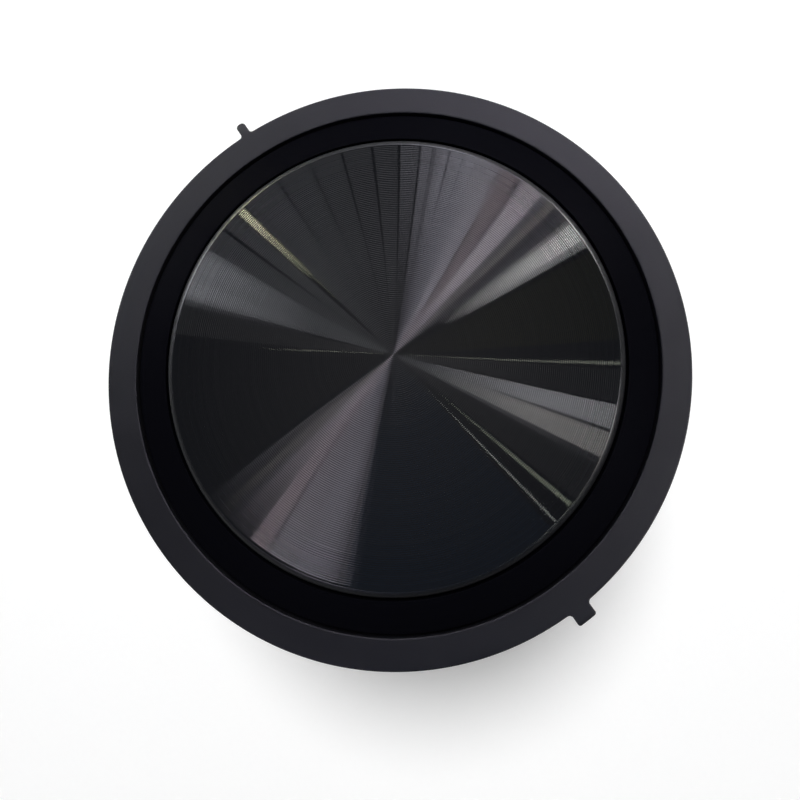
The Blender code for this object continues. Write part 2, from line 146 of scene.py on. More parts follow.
# %% Black anodised aluminium
anodised, tree, shader, place = new_finish("black anodised aluminium")
flat = add(tree, "ShaderNodeVectorMath", {0: place, 1: (1, 1, 0)}, operation="MULTIPLY")
from_axis = add(tree, "ShaderNodeVectorMath", {0: flat.outputs["Vector"]}, operation="LENGTH")
marks = add(tree, "ShaderNodeTexNoise", {"W": from_axis.outputs["Value"], "Scale": 1 / (0.3 * MM),
                                         "Detail": 3.0}, noise_dimensions="1D")
gloss = add(tree, "ShaderNodeMapRange", {"Value": marks.outputs["Fac"], "From Min": 0.3,
                                         "From Max": 0.7, "To Min": 0.4, "To Max": 0.5})
tone = add(tree, "ShaderNodeValToRGB", {"Fac": marks.outputs["Fac"]},
           stops=[(0.3, colour("#050508")), (0.7, colour("#07070b"))])
tree.links.new(tone.outputs["Color"], shader.inputs["Base Color"])
tree.links.new(gloss.outputs["Result"], shader.inputs["Roughness"])
shader.inputs["Specular IOR Level"].default_value = 0.004
print("made", anodised.name)

# %% [markdown]
# ## Surfaces from arrays
# Nearly every piece here is turned: an outline of radius and height, carried round the axis. Blender
# has a Screw modifier for that, but here a lug or a thread also changes the radius on the way round,
# so the points are worked out as arrays of rows (along the outline) and columns (round the axis).
# Corners of an outline are rounded first, because a real edge always catches a thin line of light.

# %% Array helpers
def rounded(corners, steps=4):
    """A closed outline of (radius, height, rounding) with each corner P swapped for a small arc.

    With unit vectors a and b towards its neighbours and rounding t, the arc is the parabola
    P + t (1 - s)^2 a + t s^2 b for s from 0 to 1.
    """
    corners = np.asarray(corners, float)
    point, size = corners[:, :2], corners[:, 2, None, None]
    before, after = np.roll(point, 1, axis=0) - point, np.roll(point, -1, axis=0) - point
    before /= np.linalg.norm(before, axis=1, keepdims=True)
    after /= np.linalg.norm(after, axis=1, keepdims=True)
    s = np.linspace(0, 1, steps + 1)[None, :, None]
    arcs = point[:, None] + size * ((1 - s) ** 2 * before[:, None] + s**2 * after[:, None])
    return arcs.reshape(-1, 2)


def turned(radius, height, bearing):
    """Rows of points (r cos b, r sin b, z): radius and height may change along rows and columns."""
    radius, height, bearing = np.broadcast_arrays(radius, height, bearing)
    return np.stack([radius * np.cos(bearing), radius * np.sin(bearing), height], axis=-1)


def cells(rows, columns):
    """Corner numbers of each cell, row by row. The last column is joined to the first."""
    i, j = np.mgrid[0 : rows - 1, 0:columns]
    k = (j + 1) % columns
    low, high = i * columns, (i + 1) * columns
    return np.stack([low + j, low + k, high + k, high + j], axis=-1)


def make(name, points, faces, material, body, nodes):
    """A piece from points in millimetres and four-cornered faces.

    Points that coincide are merged, which closes seams and poles, and the faces are turned outwards.
    """
    mesh = bpy.data.meshes.new(name)
    points, faces = points.reshape(-1, 3) * MM, faces.reshape(-1, 4).astype(np.int32)
    mesh.vertices.add(len(points))
    mesh.vertices.foreach_set("co", points.ravel())
    mesh.loops.add(faces.size)
    mesh.loops.foreach_set("vertex_index", faces.ravel())
    mesh.polygons.add(len(faces))
    mesh.polygons.foreach_set("loop_start", np.arange(0, faces.size, 4, dtype=np.int32))
    mesh.update(calc_edges=True)
    dress(name, mesh, material, body, nodes)


MERGE, SHARP_DEGREES = 0.0005, 35  # points this close become one, edges sharper than this stay crisp


def dress(name, mesh, material, body, nodes):
    """Merges a mesh, smooths all but its sharp edges, and puts it in place of its CAD nodes."""
    shape = bmesh.new()
    shape.from_mesh(mesh)
    bmesh.ops.remove_doubles(shape, verts=shape.verts, dist=MERGE * MM)
    bmesh.ops.recalc_face_normals(shape, faces=shape.faces)
    shape.to_mesh(mesh)
    shape.free()
    mesh.shade_smooth()
    mesh.set_sharp_from_angle(angle=math.radians(SHARP_DEGREES))
    mesh.materials.clear()
    mesh.materials.append(material)
    piece = bpy.data.objects.new(name, mesh)
    bpy.context.scene.collection.objects.link(piece)
    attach(piece, body)
    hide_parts(*nodes)
    print(name, len(mesh.vertices), "points,", len(mesh.polygons), "faces")


def round_bearings(count):
    """Bearings in radians, 2 pi i / count, all the way round."""
    return np.arange(count) * 2 * np.pi / count


square = rounded([(1, 0, 0.1), (2, 0, 0.1), (2, 1, 0.1), (1, 1, 0.1)])
print("a square with rounded corners has", len(square), "points")

# %% [markdown]
# ## Rim lugs
# Two small lugs stand out of the ring's edge, a narrow and a wide one, so that a sighting target
# goes on one way round only. They could be separate blocks pushed into the ring, but a moulded lug
# grows out of the rim with a fillet. So a lug is a height over the rim: along the rim it is
# flat, drops in a quarter circle, then straight down the side, and ends in the fillet's quarter
# circle.

# %% Lug heights
LUGS = {  # bearing: width, reach, corner, fillet
    124.3: (1.3, 2.05, 0.55, 0.5),
    306.5: (2.6, 1.8, 0.35, 0.55),
}
SIDE_LEAN = 0.004  # keeps the top and the foot of a lug's side apart
quarter = np.linspace(0, np.pi / 2, 8)


def lug_table(width, reach, corner, fillet):
    """Distance along the rim from the lug's middle, and the lug's height there.

    The top ends in a quarter circle of radius corner, the foot in one of radius fillet.
    """
    along = np.concatenate([[0], width / 2 - corner + corner * np.sin(quarter),
                            width / 2 + SIDE_LEAN + fillet * (1 - np.cos(quarter))])
    out = np.concatenate([[reach], reach - corner + corner * np.cos(quarter),
                          fillet * (1 - np.sin(quarter))])
    return along, out


def lug_height(bearing):
    """How far the rim stands out at each bearing, in degrees."""
    height = np.zeros_like(bearing)
    for middle, sizes in LUGS.items():
        along = np.abs((bearing - middle + 180) % 360 - 180) * np.pi / 180 * RING_RADIUS
        height += np.interp(along, *lug_table(*sizes), right=0)
    return height


lug_edges = [middle + sign * lug_table(*sizes)[0] * 180 / np.pi / RING_RADIUS
             for middle, sizes in LUGS.items() for sign in (-1, 1)]
print("lug columns:", sum(len(e) for e in lug_edges))

# %% [markdown]
# ## Hood ring
# The ring has a flat face with rounded edges, a bore round the shoulder, and a skirt that slides
# over the canister. Three L-shaped slots in the skirt lock on pins when the ring is turned.
# A Boolean could cut the slots, but it leaves ragged faces. Here the rows and columns run along
# the slots' edges, so the cells inside a slot are simply left out and its sides are added.

# %% Hood ring rows
EDGE_ROUND, PIN_Z, SLOT_HALF = 0.25, 49.3, 1.9
SKIRT_RADIUS, SKIRT_INNER, FOOT_Z = 38.0, 35.9, 44.8
edge = np.linspace(0, np.pi / 2, 7)
rim = np.stack([RING_RADIUS - EDGE_ROUND + EDGE_ROUND * np.sin(edge),
                FACE_Z - EDGE_ROUND + EDGE_ROUND * np.cos(edge), np.sin(edge)], axis=-1)
rows = np.concatenate([  # radius, height, and the share of a lug's height that is added
    [(35.25, FACE_Z, 0), (35.4, FACE_Z, 0), (38.6, FACE_Z, 0)], rim,
    [(RING_RADIUS, 58.8, 1), (RING_RADIUS, 58.6, 0), (RING_RADIUS, 57.35, 0), (38.86, 57.08, 0)],
    [(38.14, 56.64, 0), (SKIRT_RADIUS, 56.4, 0), (SKIRT_RADIUS, PIN_Z + SLOT_HALF, 0)],
    [(SKIRT_RADIUS, PIN_Z - SLOT_HALF, 0), (SKIRT_RADIUS, FOOT_Z, 0), (SKIRT_INNER, FOOT_Z, 0)],
    [(SKIRT_INNER, PIN_Z - SLOT_HALF, 0), (SKIRT_INNER, PIN_Z + SLOT_HALF, 0)],
    [(SKIRT_INNER, 60.6, 0)],
    [(35.2, 60.6, 0), (35.1, 60.7, 0), (35.1, 63.45, 0), (35.14, 63.55, 0), (35.25, FACE_Z, 0)],
])
radius, height, grows = rows.T
slot_top = int(np.flatnonzero((radius == SKIRT_RADIUS) & (height == PIN_Z + SLOT_HALF))[0])
print("outline points:", len(rows), "slot rows start at", slot_top)

# %% Hood ring columns and slots
TURN = 30.0
end_room = math.degrees(SLOT_HALF / SKIRT_RADIUS)
locked = np.array([35.0, 155.0, 275.0])
free = locked - TURN
stops = np.concatenate([free - end_room, free + end_room, locked + end_room])
degrees = np.unique(np.round(np.concatenate([np.arange(0, 360, 1.5), stops % 360, *lug_edges]), 4))
middles = (degrees + np.diff(degrees, append=degrees[0] + 360) / 2)[:, None]


def in_leg(start, end):
    """Columns whose middle is between start and end, in degrees, in any of the three slots."""
    return (((middles - start) % 360) < (end - start)).any(axis=1)


along = in_leg(free - end_room, locked + end_room)
entry = in_leg(free - end_room, free + end_room)
ring_points = turned(radius[:, None] + grows[:, None] * lug_height(degrees), height[:, None],
                     np.radians(degrees))  # a lug's height is added to the radius of the rim
print("columns:", len(degrees), "in a slot:", int(along.sum()), "in its entry:", int(entry.sum()))

# %% Hood ring piece
columns = len(degrees)
quads = cells(len(rows), columns)
kept = np.ones(quads.shape[:2], bool)
long_leg = slot_top + np.array([0, 4])  # through the outer and the inner wall
way_in = slot_top + np.array([1, 2, 3])  # below that, out through the foot
kept[long_leg[:, None], np.flatnonzero(along)] = False
kept[way_in[:, None], np.flatnonzero(entry)] = False
outer_row, inner_row = slot_top + np.arange(3), slot_top + np.array([5, 4, 3])


def bridge(level, mask):
    """Roof or floor of a slot: joins the walls along one row, where the mask is set."""
    j = np.flatnonzero(mask)
    k = (j + 1) % columns
    outer, inner = outer_row[level] * columns, inner_row[level] * columns
    return np.stack([outer + j, outer + k, inner + k, inner + j], axis=-1)


def end_wall(level, mask):
    """Ends of a slot: joins the walls along each column where the mask starts or stops."""
    j = np.flatnonzero(mask != np.roll(mask, 1))
    upper, lower = level, level + 1
    return np.stack([outer_row[upper] * columns + j, outer_row[lower] * columns + j,
                     inner_row[lower] * columns + j, inner_row[upper] * columns + j], axis=-1)


extra = [bridge(0, along), bridge(1, along & ~entry), end_wall(0, along), end_wall(1, entry)]
ring_faces = np.concatenate([quads[kept], *extra])
make("hood_ring_moulding", ring_points, ring_faces, matte_black, "hood",
     ["hood_ring"])

# %% [markdown]
# ## Retaining ring
# The glass is held by a ring that screws into the canister. All that shows is a low black shoulder
# that rises from the hood's face to the glass. A straight cone would be the quick way, but the real
# one is a little rounded, so it is a parabola over its chord, and a thin gap is left on each side.

# %% Retaining ring piece
SHOULDER_INNER, SHOULDER_OUTER, SHOULDER_TOP, DROP, BULGE = 30.5, 34.8, 64.8, 1.5, 0.3
share = np.linspace(0, 1, 11)
shoulder = np.stack([SHOULDER_INNER + (SHOULDER_OUTER - SHOULDER_INNER) * share,
                     SHOULDER_TOP - DROP * share + BULGE * share * (1 - share), 0 * share], axis=-1)
shoulder[[0, -1], 2] = 0.12, 0.25  # rounding of the inner and the outer edge
skirt = [(SHOULDER_OUTER, 61.0, 0.1), (34.2, 61.0, 0.1), (34.2, 56.0, 0.1), (33.3, 56.0, 0.1),
         (33.3, 62.9, 0.1), (SHOULDER_INNER, 62.9, 0.1)]
retainer = rounded(np.concatenate([shoulder, skirt]))
retainer = np.concatenate([retainer, retainer[:1]])
retainer_points = turned(retainer[:, :1], retainer[:, 1:], round_bearings(240))
make("retaining_ring_turned", retainer_points, cells(*retainer_points.shape[:2]), anodised,
     "canister", ["retaining_ring"])

# %% [markdown]
# ## Coated ringed glass
# The glass is nearly black because almost no light comes back except along the line of sight, and a
# coating halves what its polish reflects. Each fine ring is a tiny mirror that leans in and out, so
# a lamp anywhere round the object is stretched into a streak from the middle to the rim. Painting
# streaks would leave them stuck to the glass, so they come from real rings. The finish stays simple:
# crown glass at half its usual specular level, a base colour painted a little paler in the middle as
# painted light for what the corner behind sends back, and a rim ground dull instead of polished.

# %% Coated crown glass
PLATE_RADIUS, PAINTED_GLOW_RADIUS = 29.2, 36.0
ringed_glass, tree, shader, place = new_finish("coated crown glass, ringed")
flat = add(tree, "ShaderNodeVectorMath", {0: place, 1: (1, 1, 0)}, operation="MULTIPLY")
from_axis = add(tree, "ShaderNodeVectorMath", {0: flat.outputs["Vector"]}, operation="LENGTH")
ring_noise = add(tree, "ShaderNodeTexNoise", {"W": from_axis.outputs["Value"],
                                              "Scale": 1 / (0.7 * MM), "Detail": 2.0},
                 noise_dimensions="1D")
# painted light: the base colour is painted paler towards the middle, fading out by this radius, for
# the light the corner behind sends back; the ring noise adds a little real tone
outwards = add(tree, "ShaderNodeMath", {0: from_axis.outputs["Value"], 1: 1 / (PAINTED_GLOW_RADIUS * MM)},
               operation="MULTIPLY")
ring_noise_and_painted_glow = add(tree, "ShaderNodeMath", {0: ring_noise.outputs["Fac"], 1: 0.2, 2: outwards.outputs[0]},
            operation="MULTIPLY_ADD")
tone = add(tree, "ShaderNodeValToRGB", {"Fac": ring_noise_and_painted_glow.outputs[0]},
           stops=[(0.1, colour("#1f1f21")), (1.0, colour("#101114"))])
polish = add(tree, "ShaderNodeMapRange", {"Value": ring_noise.outputs["Fac"], "From Min": 0.3,
                                          "From Max": 0.7, "To Min": 0.02, "To Max": 0.035})
ground = add(tree, "ShaderNodeMapRange", {"Value": from_axis.outputs["Value"],
                                          "From Min": (PLATE_RADIUS - 0.05) * MM,
                                          "From Max": (PLATE_RADIUS + 0.15) * MM,
                                          "To Min": 0.0, "To Max": 0.33})
gloss = add(tree, "ShaderNodeMath", {0: polish.outputs["Result"], 1: ground.outputs["Result"]})
tree.links.new(tone.outputs["Color"], shader.inputs["Base Color"])
tree.links.new(gloss.outputs[0], shader.inputs["Roughness"])
shader.inputs["IOR"].default_value = 1.517
shader.inputs["Specular IOR Level"].default_value = 0.25
print("made", ringed_glass.name)

# %% [markdown]
# ## Glass
# One outline gives the whole glass: 112 rings from the middle out, a chamfered rim that catches a
# thin bright line, the flange that is clamped by the retaining ring, and a short barrel. Behind, the
# barrel is cut by the three faces of a cube corner. A Boolean with a turned cube would do, but along
# any bearing such a face is a straight line from the point to the barrel, so a single row with a
# changing height is enough for all three.

# %% Glass piece
GLASS_Z, RINGS, RING_SLOPE = 65.6, 112, 0.533
pitch = PLATE_RADIUS / RINGS
part = np.array([0, 1 / 4, 3 / 4])  # at a share t of the pitch a ring is slope pitch t (1 - t) deep
ring_radius = (np.arange(RINGS)[:, None] + part).ravel() * pitch
ring_height = np.tile(GLASS_Z - RING_SLOPE * pitch * part * (1 - part), RINGS)
face = np.stack([np.append(ring_radius, PLATE_RADIUS), np.append(ring_height, GLASS_Z)], axis=-1)
BARREL_RADIUS, BARREL_LENGTH, FLANGE_TOP, FLANGE_FOOT = 31.0, 0.8, 62.0, 60.4
chamfer = [(29.25, 65.59), (29.55, 65.47), (29.82, 65.31), (30.02, 65.09), (30.1, 64.9)]
flange = [(30.1, FLANGE_TOP), (32.9, FLANGE_TOP), (33.0, 61.9), (33.0, 60.5), (32.9, FLANGE_FOOT),
          (BARREL_RADIUS, FLANGE_FOOT)]
outline = np.concatenate([face, chamfer, flange])
glass_bearing = round_bearings(270)
cube_faces = np.radians([30.0, 150.0, 270.0])[:, None]
POINT_Z = FLANGE_FOOT - BARREL_LENGTH - math.sqrt(2) * BARREL_RADIUS
cut = POINT_Z + math.sqrt(2) * BARREL_RADIUS * np.cos(glass_bearing - cube_faces).max(axis=0)
glass_points = np.concatenate([
    turned(outline[:, :1], outline[:, 1:], glass_bearing),
    turned(BARREL_RADIUS, cut, glass_bearing)[None],
    turned(0.0, POINT_Z, glass_bearing)[None],
])
make("ringed_corner_cube", glass_points, cells(*glass_points.shape[:2]), ringed_glass, "canister",
     ["prism_glass"])
print("ring pitch", round(pitch, 3), "mm, cube point at height", round(POINT_Z, 2), "mm")

# %% [markdown]
# ## Canister body
# The canister is a plastic bell: a spigot under the hood ring, a straight band, a cone that follows
# the cube corner, and a neck. It is the same plastic as the ring, a little rougher and greyer where
# hands hold it. A faint second noise makes the mould's flow show when the light rakes along it.

# %% Matte body plastic
body_black, tree, shader, place = new_finish("matte black ABS body")
grain = add(tree, "ShaderNodeTexNoise", {"Vector": place, "Scale": 1 / (0.3 * MM), "Detail": 3.0})
flow = add(tree, "ShaderNodeTexNoise", {"Vector": place, "Scale": 1 / (14 * MM), "Detail": 5.0,
                                        "Distortion": 0.6})
tone = add(tree, "ShaderNodeValToRGB", {"Fac": flow.outputs["Fac"]},
           stops=[(0.3, colour("#1a1a1c")), (0.7, colour("#242427"))])
gloss = add(tree, "ShaderNodeMapRange", {"Value": flow.outputs["Fac"], "From Min": 0.3,
                                         "From Max": 0.7, "To Min": 0.48, "To Max": 0.6})
bump = add(tree, "ShaderNodeBump", {"Height": grain.outputs["Fac"], "Distance": 0.04 * MM,
                                    "Strength": 0.6})
tree.links.new(tone.outputs["Color"], shader.inputs["Base Color"])
tree.links.new(gloss.outputs["Result"], shader.inputs["Roughness"])
tree.links.new(bump.outputs["Normal"], shader.inputs["Normal"])
print("made", body_black.name)

# %% Canister piece
bell = rounded([
    (34.5, 60.2, 0.1), (35.6, 60.2, 0.3), (35.6, 54.2, 0.1), (34.1, 54.2, 0.1), (34.1, 52.6, 0.1),
    (35.6, 52.6, 0.1), (35.6, 44.5, 0.1), (38.0, 44.5, 0.7), (38.0, 39.5, 2.0), (26.0, 28.0, 2.5),
    (26.0, 6.3, 0.3), (20.3, 6.3, 0.2), (20.3, 29.65, 0.5), (31.4, 37.5, 0.5), (31.4, 59.0, 0.1),
    (33.0, 59.0, 0.1), (33.0, 55.6, 0.1), (34.5, 55.6, 0.1),
])
bell = np.concatenate([bell, bell[:1]])
bell_points = turned(bell[:, :1], bell[:, 1:], round_bearings(192))
make("canister_bell", bell_points, cells(*bell_points.shape[:2]), body_black, "canister",
     ["canister_body"])

# %% [markdown]
# ## Metals
# The pins, screws and spring are stainless steel, and the socket is brass. All but the spring were
# turned on a lathe, which leaves fine tool marks across the feed, so noise that is drawn out across
# the axis changes their tone and roughness. A metal keeps the default index of refraction, because
# its colour already says how it reflects. The marks are drawn at 0.15 mm, coarser than real ones, to
# show.

# %% Stainless steel and brass
metals = {}
for slot, (name, dark, light) in {
    "steel": ("turned stainless steel", "#a9abad", "#c3c5c7"),
    "brass": ("turned brass", "#a8843f", "#c09c57"),
}.items():
    metals[slot], tree, shader, place = new_finish(name)
    lathe = add(tree, "ShaderNodeMapping", {"Vector": place, "Scale": (0.15, 0.15, 1.0)})
    marks = add(tree, "ShaderNodeTexNoise", {"Vector": lathe.outputs["Vector"],
                                             "Scale": 1 / (0.15 * MM), "Detail": 2.0})
    tone = add(tree, "ShaderNodeValToRGB", {"Fac": marks.outputs["Fac"]},
               stops=[(0.3, colour(dark)), (0.7, colour(light))])
    gloss = add(tree, "ShaderNodeMapRange", {"Value": marks.outputs["Fac"], "From Min": 0.3,
                                             "From Max": 0.7, "To Min": 0.24, "To Max": 0.38})
    tree.links.new(tone.outputs["Color"], shader.inputs["Base Color"])
    tree.links.new(gloss.outputs["Result"], shader.inputs["Roughness"])
    shader.inputs["Metallic"].default_value = 1.0
print("made", [m.name for m in metals.values()])

# %% [markdown]
# ## Threaded socket
# A survey pole ends in a 5/8 inch stud with 11 threads to the inch, and the socket in the back
# takes it. A stack of rings would look right from afar, but a thread is a helix, so the bore's radius
# is a wave that moves up by one pitch for each turn. A cone at the mouth leads the stud in.

# %% Brass socket
THREAD_PITCH, CREST, ROOT, MOUTH = 25.4 / 11, 6.75, 7.85, 8.2
LOW, HIGH = 0.2, 12.0
bore_height = np.linspace(HIGH, LOW, 72)[:, None]
thread_bearing = round_bearings(96)
turn = (bore_height / THREAD_PITCH - thread_bearing / (2 * np.pi)) % 1
wave = np.clip(1.5 - np.abs(turn - 0.5) * 4, 0, 1)  # flat crest, straight flanks, flat root
bore_radius = np.maximum(CREST + (ROOT - CREST) * wave, MOUTH - (bore_height - LOW))
bush = np.array([(10.35, LOW), (10.5, LOW + 0.15), (10.5, 4.13), (9.7, 4.73), (9.7, 7.47),
                 (10.5, 8.07), (10.5, HIGH)])
bore_points = turned(bore_radius, bore_height, thread_bearing)
socket_points = np.concatenate([bore_points, turned(bush[:, :1], bush[:, 1:], thread_bearing),
                                bore_points[:1]])
make("brass_socket", socket_points, cells(*socket_points.shape[:2]), metals["brass"], "canister",
     ["threaded_insert"])

# %% [markdown]
# ## Cap, screws and pins
# These shapes are right in the CAD model, so they are not built again. The CAD mesh is loose
# triangles, which shade as flat facets. A copy with its points merged can be shaded smooth, and
# only edges sharper than 35 degrees stay crisp.

# %% Smoothed copies
small = {"back_cap": (body_black, "body_plastic")}
small |= {f"cap_screw_{i}": (metals["steel"], "steel") for i in range(1, 5)}
small |= {f"bayonet_pin_{i}": (metals["steel"], "steel") for i in range(1, 4)}
for node, (material, slot) in small.items():
    dress(f"{node}_smooth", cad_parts[node].data.copy(), material, "canister", [node])

# %% [markdown]
# ## Hidden parts
# Seals, gaskets, cushion, cradle and spring only show when the canister is taken apart, but they are
# part of the model and get their own finishes. Rubber is dull with a fine bloom, and nylon is grey
# and waxy, so each takes one slow noise for both its tone and its roughness.

# %% Rubber and nylon
soft = {}
for slot, (name, dark, light, low, high) in {
    "rubber": ("black nitrile rubber", "#121213", "#1c1c1e", 0.65, 0.85),
    "nylon": ("grey moulded nylon", "#54555a", "#626367", 0.4, 0.55),
}.items():
    soft[slot], tree, shader, place = new_finish(name)
    bloom = add(tree, "ShaderNodeTexNoise", {"Vector": place, "Scale": 1 / (2 * MM), "Detail": 4.0})
    tone = add(tree, "ShaderNodeValToRGB", {"Fac": bloom.outputs["Fac"]},
               stops=[(0.3, colour(dark)), (0.7, colour(light))])
    gloss = add(tree, "ShaderNodeMapRange", {"Value": bloom.outputs["Fac"], "From Min": 0.3,
                                             "From Max": 0.7, "To Min": low, "To Max": high})
    tree.links.new(tone.outputs["Color"], shader.inputs["Base Color"])
    tree.links.new(gloss.outputs["Result"], shader.inputs["Roughness"])
hidden = dict.fromkeys(["hood_seal", "back_seal", "front_gasket", "seat_gasket", "prism_cushion"],
                       soft["rubber"])
hidden |= {"prism_cradle": soft["nylon"], "wave_spring": metals["steel"]}
for node, material in hidden.items():
    for material_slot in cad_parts[node].material_slots:
        material_slot.material = material
print("finished", len(hidden), "hidden nodes")

# %% [markdown]
# ## Floor and room
# The canister stands on its back on a white table. The room is pale near the horizon, which lights
# the sides, and dark overhead, so that the polished glass has something dark to mirror. It is also
# darker on the photographer's side, where someone stands in the light. The floor adds a little of its
# own white where it is seen or mirrored, so it reads as paper white and still takes the shadow.

# %% Floor
FLOOR_HALF, FLOOR_GLOW = 1.5, 0.2  # half its width in metres, and the white it adds
floor_corners = FLOOR_HALF * np.array([(-1, -1, 0), (1, -1, 0), (1, 1, 0), (-1, 1, 0)])
floor_mesh = bpy.data.meshes.new("floor")
floor_mesh.from_pydata(floor_corners.tolist(), [], [(0, 1, 2, 3)])
floor = bpy.data.objects.new("floor", floor_mesh)
bpy.context.scene.collection.objects.link(floor)
paper, tree, shader, place = new_finish("white table paper")
seen = add(tree, "ShaderNodeLightPath")
direct = add(tree, "ShaderNodeMath", {0: seen.outputs["Is Camera Ray"],
                                      1: seen.outputs["Is Glossy Ray"]}, operation="MAXIMUM")
direct = add(tree, "ShaderNodeMath", {0: direct.outputs[0], 1: seen.outputs["Is Transmission Ray"]},
             operation="MAXIMUM")
lift = add(tree, "ShaderNodeMath", {0: direct.outputs[0], 1: FLOOR_GLOW}, operation="MULTIPLY")
tree.links.new(lift.outputs[0], shader.inputs["Emission Strength"])
shader.inputs["Emission Color"].default_value = (1, 1, 1, 1)
shader.inputs["Base Color"].default_value = colour("#f0f0f0")
shader.inputs["Roughness"].default_value = 0.9
floor_mesh.materials.append(paper)
print("floor of", 2 * FLOOR_HALF, "m")

# %% Room
world = bpy.data.worlds.new("room")
bpy.context.scene.world = world
world.use_nodes = True
tree = world.node_tree
view = add(tree, "ShaderNodeTexCoord").outputs["Generated"]
sky = add(tree, "ShaderNodeSeparateXYZ", {"Vector": view})
fade = add(tree, "ShaderNodeMapRange", {"Value": sky.outputs["Z"], "From Min": 0.08, "From Max": 0.25,
                                        "To Min": 0.9, "To Max": 0.03})
towards_photographer = (0.55, -0.835, 0)
facing = add(tree, "ShaderNodeVectorMath", {0: view, 1: towards_photographer},
             operation="DOT_PRODUCT")
shade = add(tree, "ShaderNodeMapRange", {"Value": facing.outputs["Value"], "From Min": 0.1,
                                         "From Max": 0.8, "To Min": 1.0, "To Max": 0.15})
level = add(tree, "ShaderNodeMath", {0: fade.outputs["Result"], 1: shade.outputs["Result"]},
            operation="MULTIPLY")
tree.links.new(level.outputs[0], tree.nodes["Background"].inputs["Strength"])
tree.nodes["Background"].inputs["Color"].default_value = (1, 1, 1, 1)
print("made the", world.name)

# %% [markdown]
# ## Key light
# One soft lamp from beyond the top edge gives the plain light level and the soft shadow below the
# ring. Its mirror image would fill the glass, so it is hidden from glossy rays, as a studio hides a
# softbox from a shiny object with a flag.

# %% Key lamp
key = bpy.data.objects.new("key", bpy.data.lights.new("key", "AREA"))
key.data.shape, key.data.size = "DISK", 0.3
key.data.energy = 6.4
key_bearing, key_lean, key_distance = math.radians(92), math.radians(18.5), 0.8
key.location = (key_distance * math.sin(key_lean) * math.cos(key_bearing),
                key_distance * math.sin(key_lean) * math.sin(key_bearing),
                key_distance * math.cos(key_lean))
key.rotation_euler = (key_lean, 0, key_bearing + math.pi / 2)
key.visible_glossy = False
bpy.context.scene.collection.objects.link(key)
print("key lamp at", [round(v, 2) for v in key.location], "m")

# %% [markdown]
# ## Strip lamps for the streaks
# Each streak on the rings comes from a lamp or two. A ring at bearing b leans only towards or away
# from the axis, so it mirrors a lamp when the direction to the lamp plus the direction to the eye
# points along b. So a lamp for a streak at b is at direction k b - e, with e the eye's sideways
# direction and k how far it leans out. Small k shows on both sides of the middle, large k only near
# the rim. One big softbox would be simpler, but it would turn the whole disc grey.
# The lamps are panels on a dome, each a patch of bearings and leans with its own brightness. A few
# wide dim ones only tint the dark parts between the streaks.

